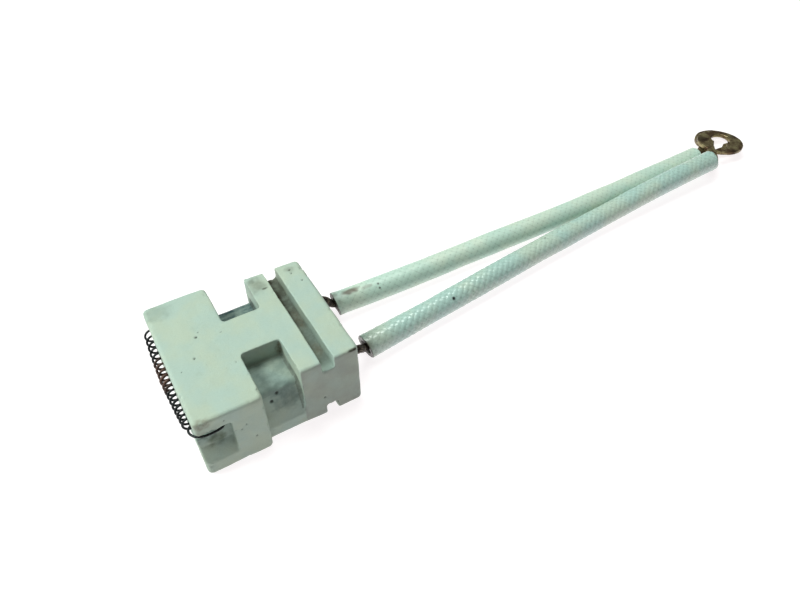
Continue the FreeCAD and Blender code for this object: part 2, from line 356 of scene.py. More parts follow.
def ceramic_paint():
    """Unglazed pressed steatite: pale, finely grained, mottled, with pinholes, stains and soot, painted shade
    in its corners, grooves, notches and recesses, and painted shade greying the sides of its rear part.
    """
    paint = Paint("steatite")
    mottle = paint.ramp(paint.noise(5.0, 4.0), 0.35, 0.65)
    grain = paint.noise(0.22, 3.0, 0.7)
    colour = paint.mix(mottle, rgb(175, 189, 172), rgb(168, 188, 178))
    colour = paint.mix(paint.ramp(grain, 0.3, 0.7, 0.0, 0.10), colour, rgb(125, 142, 128))
    # Painted shade: where the dull attribute is set, the sides of the rear part are greyed.
    uneven = paint.ramp(paint.noise(3.0, 4.0), 0.3, 0.7, 0.4, 0.8)
    side_shade = paint.math("MULTIPLY", paint.attribute("dull"), uneven)
    colour = paint.mix(side_shade, colour, rgb(142, 146, 138))
    smudge = paint.ramp(paint.noise(2.6, 5.0, 0.65), 0.58, 0.80, 0.0, 0.25)
    colour = paint.mix(smudge, colour, rgb(140, 156, 134))
    broken = paint.ramp(paint.noise(1.1, 4.0, 0.6), 0.3, 0.65, 0.72, 1.0)
    # These three layers hold stains, soot and dirt, and also painted shade in the grooves, notches, recesses
    # and corners.
    for layer, tint in (("olive_and_shade", rgb(72, 84, 60)), ("soot_and_shade", rgb(48, 72, 74)), ("grime_and_shade", rgb(46, 42, 26))):
        colour = paint.mix(paint.math("MULTIPLY", paint.attribute(layer), broken), colour, tint)
    speckled = paint.ramp(paint.noise(0.5, 4.0), 0.3, 0.65, 0.2, 1.0)
    colour = paint.mix(paint.math("MULTIPLY", paint.attribute("rust"), speckled), colour, rgb(96, 70, 40))
    colour = paint.mix(paint.attribute("pit"), colour, rgb(40, 46, 40))
    paint.set(Base_Color=colour, Roughness=paint.ramp(grain, 0.2, 0.8, 0.5, 0.72), Specular_IOR_Level=0.3)
    height = paint.math("ADD", paint.noise(0.16, 3.0, 0.7), paint.math("MULTIPLY", paint.noise(1.2, 3.0), 1.4))
    paint.bump(height, 0.05, 0.6)
    return paint.material


def cement_paint():
    """Coarse, dull refractory cement with darker patches."""
    paint = Paint("cement")
    grain = paint.noise(0.18, 4.0, 0.75)
    colour = paint.mix(paint.ramp(grain, 0.35, 0.65), rgb(150, 146, 128), rgb(192, 188, 170))
    colour = paint.mix(paint.ramp(paint.noise(0.9, 3.0), 0.5, 0.7, 0.0, 0.6), colour, rgb(90, 82, 66))
    paint.set(Base_Color=colour, Roughness=0.9)
    paint.bump(grain, 0.12, 0.9)
    return paint.material


def heater_paint():
    """Oxidised resistance wire: nearly black scale, red-brown where it burnt hottest."""
    paint = Paint("heater_wire")
    scale = paint.noise(0.25, 4.0, 0.7)
    colour = paint.mix(paint.ramp(scale, 0.35, 0.7), rgb(26, 30, 32), rgb(62, 66, 66))
    patchy = paint.ramp(paint.noise(0.6, 3.0), 0.3, 0.55, 0.35, 1.0)
    burnt = paint.math("MULTIPLY", paint.attribute("burnt"), patchy)
    colour = paint.mix(burnt, colour, rgb(88, 62, 52))
    metal = paint.ramp(burnt, 0.0, 1.0, 0.75, 0.2)
    paint.set(Base_Color=colour, Metallic=metal, Roughness=paint.ramp(scale, 0.3, 0.7, 0.38, 0.62))
    paint.bump(paint.noise(0.08, 2.0), 0.02, 0.5)
    return paint.material


def strand_paint():
    """Heat-darkened nickel strands."""
    paint = Paint("conductor_strand")
    dull = paint.noise(0.8, 4.0, 0.65)
    colour = paint.mix(paint.ramp(dull, 0.4, 0.65), rgb(34, 28, 24), rgb(96, 84, 68))
    paint.set(Base_Color=colour, Metallic=0.7, Roughness=paint.ramp(dull, 0.3, 0.7, 0.6, 0.35))
    paint.bump(paint.noise(0.1, 2.0), 0.02, 0.4)
    return paint.material


def ferrule_paint():
    """Drawn nickel tube with streaks along it."""
    paint = Paint("ferrule_metal")
    streak = paint.noise(0.2, 3.0, 0.6, paint.stretched(0.15, 1.0, 1.0))
    colour = paint.mix(paint.ramp(streak, 0.3, 0.7), rgb(150, 150, 146), rgb(190, 190, 184))
    paint.set(Base_Color=colour, Metallic=1.0, Roughness=paint.ramp(streak, 0.3, 0.7, 0.28, 0.45))
    paint.bump(streak, 0.02, 0.4)
    return paint.material


def sleeve_paint(name, gloss, tones):
    """Braided glass yarn under thin varnish, with painted shade between the yarns and painted highlights on
    their crests. Attributes give the yarn's height, soil, the painted shade of the cut ends and bore, and
    specks.
    """
    paint = Paint(name)
    height = paint.attribute("yarn")
    colour = paint.mix(paint.ramp(paint.noise(6.0, 3.0), 0.35, 0.65), *tones)
    fibre = paint.noise(0.12, 2.0, 0.6)
    colour = paint.mix(paint.ramp(fibre, 0.3, 0.7, 0.0, 0.18), colour, rgb(132, 160, 154))
    # Painted shade: darker between the yarns, where the braid is low.
    colour = paint.mix(paint.ramp(height, 0.0, 0.6, 0.5, 0.0), colour, rgb(104, 122, 112))
    # Painted highlights: near-white glints on the braid's crests.
    glint = paint.ramp(paint.noise(0.5, 2.0, 0.7), 0.60, 0.72, 0.0, 0.55)
    crest = paint.ramp(height, 0.7, 0.95)
    colour = paint.mix(paint.math("MULTIPLY", glint, crest), colour, rgb(226, 236, 236))
    colour = paint.mix(paint.attribute("soil"), colour, rgb(84, 74, 52))
    # Painted shade: dark at the cut ends and all through the bore.
    colour = paint.mix(paint.attribute("cut"), colour, rgb(52, 40, 28))
    colour = paint.mix(paint.attribute("speck"), colour, rgb(20, 24, 24))
    low, high = gloss
    paint.set(Base_Color=colour, Roughness=paint.ramp(paint.noise(0.5, 3.0), 0.3, 0.7, low, high))
    paint.set(Specular_IOR_Level=0.6, Coat_Weight=0.5, Coat_Roughness=low)
    paint.bump(paint.noise(0.07, 2.0, 0.6), 0.02, 0.6)
    return paint.material


def terminal_paint():
    """Tarnished brass plating over steel."""
    paint = Paint("tarnished_brass")
    patch = paint.noise(1.6, 4.0, 0.6)
    fine = paint.noise(0.3, 3.0, 0.65)
    colour = paint.mix(paint.ramp(patch, 0.38, 0.62), rgb(104, 84, 62), rgb(168, 158, 118))
    colour = paint.mix(paint.ramp(fine, 0.5, 0.75, 0.0, 0.5), colour, rgb(70, 50, 36))
    colour = paint.mix(paint.attribute("dark"), colour, rgb(48, 34, 26))
    paint.set(Base_Color=colour, Metallic=0.8, Roughness=paint.ramp(fine, 0.3, 0.7, 0.3, 0.5))
    paint.bump(fine, 0.03, 0.5)
    return paint.material


def floor_paint():
    """Matt and pale, with a glow of its own, as a photographer's white sweep looks when it is overexposed."""
    paint = Paint("floor")
    paint.set(Base_Color=(0.3, 0.3, 0.3, 1.0), Roughness=1.0, Specular_IOR_Level=0.0)
    paint.set(Emission_Color=(1.0, 0.96, 0.97, 1), Emission_Strength=0.87)
    return paint.material


# ---------------------------------------------------------------- ceramic body

body_low, body_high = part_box("ceramic_body")
FRONT = body_low.x / MM
REAR = body_high.x / MM
TOP = body_high.z / MM
HEAD_HALF = body_high.y / MM
REAR_HALF = 10.25
NOTCH = (FRONT + 9.2, FRONT + 14.8)
WAIST_HALF = 3.4
LEDGE = 8.3
LEDGE_EDGE = 8.4
SKIRT_FOOT = 2.5
GROOVE = (FRONT + 17.8, FRONT + 19.65)
GROOVE_DEPTH = 2.0
RECESS_END = FRONT + 4.6
RECESS_WALL = HEAD_HALF - 1.45
RECESS_FOOT = 4.6
SLAB_UNDER = TOP - 2.3
BORE_Y = 6.0
BORE_Z = 5.6

# Pinholes that the photo shows: where, and how wide.
PINHOLES = [
    (FRONT + 5.1, 2.52, TOP, 0.21),
    (FRONT + 3.73, -1.06, TOP, 0.17),
    (FRONT + 21.47, 8.54, TOP, 0.18),
    (FRONT + 21.41, 7.68, TOP, 0.12),
    (FRONT + 22.24, 5.56, TOP, 0.13),
    (FRONT + 17.7, -REAR_HALF, 3.9, 0.15),
    (FRONT + 7.27, -HEAD_HALF, 4.1, 0.12),
    (FRONT + 11.62, -8.75, 7.2, 0.26),
    (FRONT + 10.65, -9.0, 6.3, 0.28),
]
SCATTERED_PINHOLES = 34

# Stains: the middle, how far each reaches along x, y and z, and how strong it is.
GRIME_STAINS = [
    ((FRONT + 16.0, 7.7, TOP), (1.9, 2.0, 1.2), 0.42),
    ((FRONT + 16.75, 6.7, TOP), (0.75, 0.3, 0.5), 0.95),
    ((FRONT + 15.6, 8.8, TOP), (0.7, 0.8, 0.8), 0.5),
    ((FRONT + 22.6, -REAR_HALF + 0.05, TOP - 0.15), (1.3, 0.35, 0.35), 1.0),
    ((FRONT + 21.4, 8.6, TOP), (1.0, 1.0, 0.5), 0.3),
]
OLIVE_STAINS = [
    ((FRONT + 2.5, -RECESS_WALL, 5.4), (1.7, 0.9, 1.5), 0.9),
    ((FRONT + 1.8, 9.8, TOP), (2.5, 2.2, 1.0), 0.25),
]
RUST_STAINS = [
    ((FRONT + 1.3, -HEAD_HALF + 0.2, TOP - 0.5), (1.7, 1.2, 1.3), 0.5),
    ((FRONT + 0.7, -HEAD_HALF + 0.1, SLAB_UNDER + 0.4), (1.2, 0.8, 0.6), 0.35),
    ((NOTCH[1] - 0.35, -WAIST_HALF - 0.1, LEDGE + 1.4), (0.9, 0.6, 1.5), 0.6),
    ((REAR, -BORE_Y, BORE_Z), (1.0, 2.3, 2.3), 0.7),
    ((REAR, BORE_Y, BORE_Z), (1.0, 2.3, 2.3), 0.7),
    ((GROOVE[1] - 0.6, 0.4, TOP - GROOVE_DEPTH), (0.8, 2.6, 0.9), 0.45),
    ((GROOVE[1] - 0.6, -6.2, TOP - GROOVE_DEPTH), (0.8, 2.0, 0.9), 0.35),
]


class BlockSurface:
    """The block's skin: its points, how hollow or sharp it is at each, and which part of the block that is."""

    def __init__(self):
        self.points, self.quads = remeshed("ceramic_body", 0.14)
        edges = edges_of(self.quads)
        self.points = relaxed(self.points, edges, 2)
        self.normal = normals_of(self.points, self.quads)
        broad = relaxed(self.points, edges, 60)
        lift = ((broad - self.points) * self.normal).sum(axis=1)
        self.hollow = smoothstep(0.02, 0.16, lift)
        self.ridge = smoothstep(0.03, 0.16, -lift)
        self.patchy = value_noise(self.points, 1.1, 6)
        self.uneven = value_noise(self.points, 0.8, 8) + 0.6 * value_noise(self.points, 0.35, 9)
        self.x, self.y, self.z = self.points.T
        self.wide = np.abs(self.y)
        self.depth = TOP - self.z
        self.find_places()

    def find_places(self):
        x, z, wide, depth = self.x, self.z, self.wide, self.depth
        between = (x > GROOVE[0] - 0.06) & (x < GROOVE[1] + 0.06) & (wide < REAR_HALF - 0.05)
        self.top_groove = between & (depth > 0.1) & (depth < GROOVE_DEPTH + 0.12)
        self.low_groove = between & (z > 0.1) & (z < GROOVE_DEPTH + 0.12)
        self.notch = (x > NOTCH[0] - 0.1) & (x < NOTCH[1] + 0.1) & (wide > WAIST_HALF - 0.3)
        self.notch_wall = self.notch & (wide < WAIST_HALF + 0.35) & (z > LEDGE - 0.1)
        by_ledge = (z < LEDGE + 0.3) & (z > LEDGE - 1.2) & (wide < LEDGE_EDGE + 0.3)
        self.ledge = self.notch & by_ledge & ~self.notch_wall
        self.skirt = self.notch & (wide > LEDGE_EDGE - 0.4) & (z < LEDGE - 0.1) & (z > SKIRT_FOOT - 0.2)
        under_slab = (z < SLAB_UNDER + 0.05) & (z > SKIRT_FOOT)
        self.recess = (x < RECESS_END + 0.1) & (wide > RECESS_WALL - 0.3) & under_slab
        self.recess_wall = self.recess & (wide < RECESS_WALL + 0.3) & (z > RECESS_FOOT - 0.1)
        self.behind_coil = (x < FRONT + 2.6) & (z < SLAB_UNDER + 0.2) & (wide < RECESS_WALL)
        self.off_near_end = smoothstep(-REAR_HALF + 0.3, -REAR_HALF + 2.0, self.y)

    def stain(self, centre, reach, most):
        """A stain round a point, with an uneven outline."""
        away = np.linalg.norm((self.points - centre) / reach, axis=1) + 0.22 * self.uneven
        return most * fading(0.3, 1.0, away)

    def stained(self, field, stains):
        for centre, reach, most in stains:
            field = np.maximum(field, self.stain(centre, reach, most))
        return field


def scattered_pinholes():
    """Small ones anywhere on the top, the underside and the sides."""
    found = []
    for _ in range(SCATTERED_PINHOLES):
        face = rng.integers(0, 5)
        size = rng.uniform(0.05, 0.1)
        x = rng.uniform(FRONT + 1, REAR - 1)
        y = rng.uniform(-9.5, 9.5)
        z = rng.uniform(0.8, TOP - 0.8)
        if face == 0:
            found.append((x, y, TOP, size))
        elif face == 1:
            found.append((x, y, 0, size))
        else:
            side = -1 if face < 4 else 1
            found.append((x, side * (REAR_HALF if x > NOTCH[1] else HEAD_HALF), z, size))
    return found


def pinhole_depth(skin):
    pit = np.zeros(len(skin.points))
    for *centre, size in PINHOLES + scattered_pinholes():
        away = np.linalg.norm(skin.points - centre, axis=1)
        pit = np.maximum(pit, fading(size * 0.5, size * 1.3, away))
    return pit


def pressed_relief(skin):
    """A slow swell, a fine tooth, and worn ridges with small chips."""
    points = skin.points
    swell = 0.06 * value_noise(points, 3.2, 1) + 0.03 * value_noise(points, 1.4, 2)
    tooth = 0.008 * value_noise(points, 0.35, 3)
    chip_field = value_noise(points, 0.9, 4) + 0.5 * value_noise(points, 0.4, 5)
    return swell + tooth - 0.2 * skin.ridge * smoothstep(0.45, 1.0, chip_field)


def grime_and_shade_on(skin):
    """Brown-black darkening: dirt stains, and painted shade in corners and in the cross grooves, thickest on
    the groove floor and at the far end, and at the notches' wall feet and rear corners.
    """
    # The top groove is darkened, partly dirt and partly painted shade: darker with depth, on its floor by the
    # front wall, towards the far end, and less at the near end where it opens.
    along = (0.62 + 0.38 * smoothstep(-6.0, 6.0, skin.y)) * skin.off_near_end
    towards_front = 0.5 + 0.5 * fading(GROOVE[0] + 0.2, GROOVE[0] + 1.1, skin.x)
    groove_floor_shade = smoothstep(GROOVE_DEPTH - 0.35, GROOVE_DEPTH - 0.1, skin.depth) * towards_front
    in_groove = along * (0.08 + 0.22 * smoothstep(0.5, 1.7, skin.depth) + groove_floor_shade)
    grime_and_shade = np.where(skin.top_groove, in_groove, 0)
    # Painted shade: the underside groove darkens further in.
    grime_and_shade = np.maximum(grime_and_shade, np.where(skin.low_groove, 0.45 * smoothstep(0.2, 1.6, skin.z), 0))
    # Painted shade in hollows and corners.
    grime_and_shade = np.maximum(grime_and_shade, 0.24 * skin.hollow * (0.3 + 0.7 * smoothstep(-0.4, 0.6, skin.patchy)))
    # Painted shade at the foot of each notch's inner wall and in the notches' rear corners.
    wall_foot_shade = 0.45 * fading(LEDGE + 0.05, LEDGE + 0.4, skin.z)
    grime_and_shade = np.maximum(grime_and_shade, np.where(skin.notch_wall, wall_foot_shade, 0))
    rear_corner_shade = skin.notch & (skin.x > NOTCH[1] - 0.45) & (skin.z > SKIRT_FOOT) & (skin.hollow > 0.3)
    grime_and_shade = np.maximum(grime_and_shade, np.where(rear_corner_shade, 0.55, 0))
    return skin.stained(grime_and_shade, GRIME_STAINS)


def olive_and_shade_on(skin):
    """Dark greenish tint: stains, and painted shade in the top groove, on the walls of the notches and in the
    recesses under the slab.
    """
    olive_and_shade = np.where(skin.notch_wall, 0.05, np.where(skin.top_groove, 0.22 * skin.off_near_end, 0))
    # Painted shade on the recess walls, darker up under the slab, and lighter painted shade over the rest of
    # each recess.
    olive_and_shade = np.maximum(olive_and_shade, np.where(skin.recess_wall, 0.12 + 0.3 * smoothstep(5.0, 7.0, skin.z), 0))
    recess_rest = 0.1 * fading(RECESS_WALL + 0.2, HEAD_HALF, skin.wide)
    olive_and_shade = np.maximum(olive_and_shade, np.where(skin.recess & ~skin.recess_wall, recess_rest, 0))
    return skin.stained(olive_and_shade * (0.75 + 0.25 * skin.patchy), OLIVE_STAINS)


def soot_and_shade_on(skin):
    """Blue-grey darkening: painted shade on the ledges and skirts of the notches, and soot behind the coil."""
    streak = value_noise(skin.points * [0.25, 1.0, 1.0], 0.35, 15)
    # Painted shade on the ledges, heaviest on the far ledge, and on the skirts, darker towards the ledge above.
    on_ledge = np.where(skin.y > 0, 0.9 + 0.25 * streak, 0.56 + 0.12 * skin.patchy)
    soot_and_shade = np.where(skin.ledge, on_ledge, 0)
    on_skirt = 0.14 + 0.2 * smoothstep(6.0, 8.0, skin.z) + 0.08 * skin.patchy
    soot_and_shade = np.maximum(soot_and_shade, np.where(skin.skirt, on_skirt, 0))
    for side, most in ((-1, 0.62), (1, 0.45)):
        cloud = skin.stain((NOTCH[0] + 3.7, side * 9.0, 6.2), (3.2, 2.4, 3.4), most)
        soot_and_shade = np.maximum(soot_and_shade, np.where(skin.skirt | skin.ledge, cloud, 0))
    # Soot behind the coil.
    off_middle = np.abs(skin.z - 7.7)
    return np.maximum(soot_and_shade, np.where(skin.behind_coil, 0.55 * fading(0.0, 3.4, off_middle), 0))


def build_body():
    skin = BlockSurface()
    pit = pinhole_depth(skin)
    push = pressed_relief(skin) - 0.14 * pit
    piece = mesh_object("steatite_block", skin.points + skin.normal * push[:, None], skin.quads)
    flank = (skin.wide > REAR_HALF - 0.4) * (skin.x > NOTCH[1] - 0.2)
    set_attribute(piece, "grime_and_shade", np.clip(grime_and_shade_on(skin), 0, 1))
    set_attribute(piece, "soot_and_shade", np.clip(soot_and_shade_on(skin), 0, 1))
    # Painted shade: the dull attribute greys the sides of the rear part.
    set_attribute(piece, "dull", smoothstep(0.5, 0.95, np.abs(skin.normal[:, 1])) * flank)
    set_attribute(piece, "olive_and_shade", np.clip(olive_and_shade_on(skin), 0, 1))
    set_attribute(piece, "rust", np.clip(skin.stained(np.zeros(len(skin.points)), RUST_STAINS), 0, 1))
    set_attribute(piece, "pit", pit * 0.9)
    stand_in(piece, "ceramic_body", ceramic_paint())


build_body()


# ---------------------------------------------------------------- heater coil

WIRE = 0.3
COIL_DIAMETER = 1.9
COIL_TURNS = 17.75
COIL_NEAR_PITCH = 0.8
COIL_NEAR_END = -HEAD_HALF + 3.1
COIL_FAR_END = HEAD_HALF - 1.75
COIL_END_REACH = 0.02
COIL_BOW = 0.38
COIL_AXIS_Z = SLAB_UNDER - 0.2 - COIL_DIAMETER / 2
COIL_RADIUS = (COIL_DIAMETER - WIRE) / 2
POINTS_PER_TURN = 26
POINTS_ROUND_WIRE = 12
HOLE_X = FRONT + 3.9
HOLE_Z = SLAB_UNDER - 1.0
FERRULE_X = FRONT + 7.0
TAIL_OUTSIDE = HEAD_HALF + WIRE / 2 - 0.05

# How each tail leaves the coil: the middle of its swing, from the front face and from the coil's end, where it
# comes round the corner, from the front face, and how far out it runs along the recess.
TAILS = {"near": ((-0.8, 1.2), 0.2, TAIL_OUTSIDE), "far": ((0.95, 1.0), 1.75, TAIL_OUTSIDE - 0.7)}


def coil_line():
    """The winding as hand-wound wire: the pitch wanders a little and the axis isn't quite even."""
    turn = np.linspace(0, COIL_TURNS, int(COIL_TURNS * POINTS_PER_TURN) + 1)
    span = COIL_FAR_END - COIL_NEAR_END
    growth = 2 * (span / COIL_TURNS - COIL_NEAR_PITCH) / COIL_TURNS
    advance = COIL_NEAR_PITCH * turn + growth * turn ** 2 / 2
    off_ends = np.sin(math.pi * advance / span)
    probe = np.stack([turn, np.zeros_like(turn), np.zeros_like(turn)], axis=1)
    advance = advance + 0.16 * off_ends * value_noise(probe, 1.7, 11)
    radius = COIL_RADIUS * (1 - 0.05 * off_ends * (0.5 + 0.5 * value_noise(probe, 2.3, 12)))
    axis_x = FRONT - COIL_END_REACH - COIL_BOW * off_ends + 0.04 * off_ends * value_noise(probe, 3.1, 13)
    axis_z = COIL_AXIS_Z + 0.06 * off_ends * value_noise(probe, 2.7, 14)
    angle = 2 * math.pi * turn
    return np.stack([
        axis_x + radius * np.cos(angle),
        COIL_NEAR_END + advance,
        axis_z - radius * np.sin(angle),
    ], axis=1)


def tail_line(name, start, before):
    """The near tail swings round the outside of the head's corner, and the far one turns inside the pocket."""
    side = SIDES[name]
    (swing_x, swing_y), corner, run = TAILS[name]
    roof = SLAB_UNDER - 0.05 - WIRE / 2
    points = [
        start,
        start + unit(start - before) * 0.75,
        (FRONT + swing_x, start[1] + side * swing_y, roof - 0.1),
        (FRONT + corner, side * run, roof),
        (HOLE_X - 0.6, side * run, roof),
        (HOLE_X, side * (RECESS_WALL + 0.4), HOLE_Z + 0.15),
        (HOLE_X + 0.1, side * (BORE_Y + 0.5), BORE_Z + 0.2),
        (FERRULE_X - 0.8, side * BORE_Y, BORE_Z),
        (FERRULE_X + 1.75, side * BORE_Y, BORE_Z + 0.02),
    ]
    return route_line(points, 10)


def build_coil():
    """The whole wire, crusted with scale where it glowed."""
    winding = coil_line()
    near = tail_line("near", winding[0], winding[1])
    far = tail_line("far", winding[-1], winding[-2])
    line = np.concatenate([near[::-1], winding[1:-1], far])
    scorch = smoothstep(-2.6, -0.6, line[:, 1]) * fading(3.0, 4.6, line[:, 1])
    crust = 0.012 + 0.07 * scorch * (0.4 + value_noise(line, 0.45, 17))
    points, faces = wire_mesh(line, WIRE / 2 + np.maximum(crust, 0), POINTS_ROUND_WIRE)
    piece = mesh_object("resistance_coil", points, faces)
    set_attribute(piece, "burnt", np.repeat(scorch, POINTS_ROUND_WIRE))
    stand_in(piece, "heater_coil", heater_paint())


build_coil()


# ---------------------------------------------------------------- leads

CONDUCTOR = 1.3
STRAND = CONDUCTOR / 5
STRAND_SIDES = 7
SLEEVE = 3.84
SLEEVE_BORE = 2.6

# Routes, the same as the CAD part's: x from the rear face of the block, then y and z.
SLEEVE_ROUTES = {
    "near": [
        (4.2, -3.4, 1.95),
        (20.8, -1.55, 1.95),
        (38.8, 0.75, 1.95),
        (55.8, 2.45, 1.98),
        (70.8, 3.3, 3.05),
        (85.1, 3.94, 3.3),
    ],
    "far": [
        (4.2, 7.1, 1.95),
        (16.8, 6.6, 1.95),
        (32.8, 6.75, 1.95),
        (49.8, 6.5, 1.95),
        (67.8, 7.05, 1.95),
        (85.4, 7.7, 1.95),
    ],
}
CONDUCTOR_DROPS = {
    "near": [(3.5, -3.8, 2.2), (7.1, -3.05, 1.95)],
    "far": [(3.5, 6.9, 2.2), (7.1, 6.98, 1.95)],
}

# Layers of strands from the middle out: distance from the middle, how many, and the length of one full turn,
# which is 0 for the straight one in the middle.
STRAND_LAYERS = [(0.0, 1, 0.0), (STRAND, 6, 9.0), (2 * STRAND, 12, 13.0)]

# Braid: yarns each way round the sleeve, the length over which they cross, and the mesh's own spacing.
BRAID_YARNS = 10
BRAID_PITCH = 1.25
SLEEVE_STEP = 0.11
SLEEVE_AROUND = 108
LINING_STRIDE = 6
LIP_RINGS = (0.85, 0.5, 0.18)

# Each sleeve's finish: how deep its braid stands, its least and most roughness, its two tones, and the seed of
# its unevenness. Its soil and specks are given by distance along, degrees round (90 is up, 180 the near side),
# length, width and strength.
SLEEVES = {
    "near": {
        "relief": 0.14,
        "gloss": (0.16, 0.4),
        "tones": (rgb(176, 206, 198), rgb(192, 210, 194)),
        "seed": 51,
        "soil": [],
        "specks": [(16.2, 127.0, 0.42, 0.42, 1.0), (38.0, 80.0, 0.2, 0.2, 0.9)],
    },
    "far": {
        "relief": 0.05,
        "gloss": (0.4, 0.6),
        "tones": (rgb(192, 218, 204), rgb(206, 222, 204)),
        "seed": 61,
        "soil": [(2.6, 98.0, 2.2, 0.8, 0.9), (3.2, 100.0, 0.8, 0.35, 1.0), (5.6, 106.0, 1.6, 0.5, 0.45)],
        "specks": [(7.4, 112.0, 0.24, 0.24, 1.0), (7.4, 134.0, 0.24, 0.24, 1.0)],
    },
}


def sleeve_route(name):
    return [(REAR + x, y, z) for x, y, z in SLEEVE_ROUTES[name]]


def conductor_route(name):
    """From just inside the bore, down into the sleeve and on to the terminal's barrel."""
    side = SIDES[name]
    along = [np.array(p) for p in sleeve_route(name)]
    end = along[-1] - unit(along[-1] - along[-2]) * 0.8
    drop = [(REAR + x, y, z) for x, y, z in CONDUCTOR_DROPS[name]]
    start = [(REAR - 1.5, side * BORE_Y, BORE_Z), (REAR + 1.9, side * BORE_Y, BORE_Z)]
    return start + drop + [tuple(p) for p in along[1:-1]] + [tuple(end)]


def build_conductor(name, terminal):
    """Strands laid round one another, with a few that stand a little loose where the lead is bare."""
    line, at = respaced(route_line(conductor_route(name), 40), 0.35)
    _, side, up = frames_along(line)
    points, faces, offset = [], [], 0
    for distance, count, lay in STRAND_LAYERS:
        for k in range(count):
            turn = 2 * math.pi * k / count + (2 * math.pi * at / lay if lay else 0 * at)
            probe = np.stack([at, at * 0 + k, at * 0 + distance], axis=1)
            loose = 0.10 * STRAND * value_noise(probe, 2.0, 21)
            reach = distance + (loose if distance else 0)
            centre = line + side * (reach * np.cos(turn))[:, None] + up * (reach * np.sin(turn))[:, None]
            p, f = wire_mesh(centre, STRAND * 0.49, STRAND_SIDES, offset)
            points.append(p)
            faces += f
            offset += len(p)
    piece = mesh_object(name + "_strands", np.concatenate(points), faces)
    stand_in(piece, name + "_lead_conductor", strand_paint())


def braid_height(around, along):
    """Height from 0 to 1 of a plain braid: two families of flat yarns that pass over and under."""
    p = around * BRAID_YARNS + along / BRAID_PITCH
    q = around * BRAID_YARNS - along / BRAID_PITCH
    fp, fq = p - np.floor(p), q - np.floor(q)
    over = (np.floor(p) + np.floor(q)) % 2 == 0
    across = np.where(over, fp, fq)
    length = np.where(over, fq, fp)
    crown = np.sqrt(np.clip(1 - (2 * across - 1) ** 2, 0, 1))
    return crown * (0.55 + 0.45 * np.sin(math.pi * length))


class SleeveSkin:
    """A sleeve's outer skin as a grid, with rings along its line and points round each."""

    def __init__(self, name, seed):
        self.seed = seed
        self.line, self.at = respaced(route_line(sleeve_route(name), 40), SLEEVE_STEP)
        self.tangent, side, up = frames_along(self.line)
        round_share = np.linspace(0, 1, SLEEVE_AROUND, endpoint=False)
        self.angle = 2 * math.pi * round_share
        self.outward = outward(side, up, self.angle)
        self.share, self.along = np.meshgrid(round_share, self.at)
        turn = 2 * math.pi * self.share
        self.probe = np.stack([self.along.ravel(), np.cos(turn).ravel() * 2, np.sin(turn).ravel() * 2], axis=1)
        self.height = braid_height(self.share.ravel(), self.along.ravel()).reshape(self.along.shape)

    def noise(self, size, seed_step):
        return value_noise(self.probe, size, self.seed + seed_step).reshape(self.along.shape)

    def radius(self, relief):
        """It swells and narrows slowly, and flares a little where it was cut."""
        to_end = np.minimum(self.along, self.at[-1] - self.along)
        sunk = relief * (1 - self.height) * (0.6 + 0.4 * self.noise(4.0, 2))
        flare = 0.05 * fading(0.0, 1.6, to_end)
        outer = SLEEVE / 2 + 0.01 - sunk + 0.06 * self.noise(6.0, 0) + 0.015 * self.noise(1.5, 1) + flare
        return np.minimum(outer, SLEEVE / 2 + 0.07)

    def slant(self, distance):
        """The block end is cut a little askew, longer on top."""
        return -0.32 * np.sin(self.angle)[None, :] * fading(0, 4.0, distance)[:, None]

    def shell(self, outer):
        ragged = 0.10 * ring_noise(self.angle, 3, self.seed, self.seed)
        shift = self.slant(self.at)
        shift[0] += ragged
        shift[-1] -= ragged
        out = self.outward * outer[:, :, None]
        return self.line[:, None] + out + self.tangent[:, None] * shift[:, :, None]

    def bore(self):
        return SLEEVE_BORE / 2 + 0.05 * ring_noise(self.angle, 2, 0, self.seed + 5)

    def lining(self):
        """The wall of the bore, with rings further apart than the skin's."""
        line = self.line[::LINING_STRIDE]
        if (len(self.line) - 1) % LINING_STRIDE:
            line = np.concatenate([line, self.line[-1:]])
        tangent, side, up = frames_along(line)
        rings = line[:, None] + outward(side, up, self.angle) * self.bore()[None, :, None]
        return rings + tangent[:, None] * self.slant(distances_along(line))[:, :, None]

    def lip(self, index, way, outer):
        """Rings from the skin in to the bore at a cut end, pushed in and out by the cut yarns."""
        rings = []
        for k, wall_share in enumerate(LIP_RINGS):
            radius = self.bore() + (outer[index] - self.bore()) * wall_share
            stub = 0.10 * ring_noise(self.angle, 6, k * 3.7 + self.seed, self.seed + 7)
            reach = way * (0.02 + stub) + self.slant(self.at[index:index + 1])[0]
            out = self.outward[index] * radius[:, None]
            rings.append(self.line[index] + out + self.tangent[index] * reach[:, None])
        return np.stack(rings)

    def mark(self, place, uneven=0.0):
        """How strongly a mark covers each point."""
        mark_at, mark_angle, length, width, most = place
        turn = (self.share * 360 - mark_angle + 180) % 360 - 180
        away = np.hypot((self.along - mark_at) / length, turn / 360 * math.pi * SLEEVE / width)
        return most * fading(0.35, 1.0, away + uneven)

    def soil(self, places):
        """Soil on the end at the block, and in the marks given."""
        soil = 0.9 * fading(0.1, 1.2, self.along) * (0.35 + 0.5 * self.noise(0.8, 9))
        for place in places:
            soil = np.maximum(soil, self.mark(place, 0.25 * self.noise(0.6, 11)))
        return np.clip(soil, 0, 1)

    def specks(self, places):
        speck = np.zeros_like(self.along)
        for place in places:
            speck = np.maximum(speck, self.mark(place))
        return speck

    def cut(self):
        """Painted shade at the yarns' ends, darker at the block end."""
        cut = np.zeros_like(self.along)
        cut[0] = 0.7
        cut[-1] = 0.3
        return cut


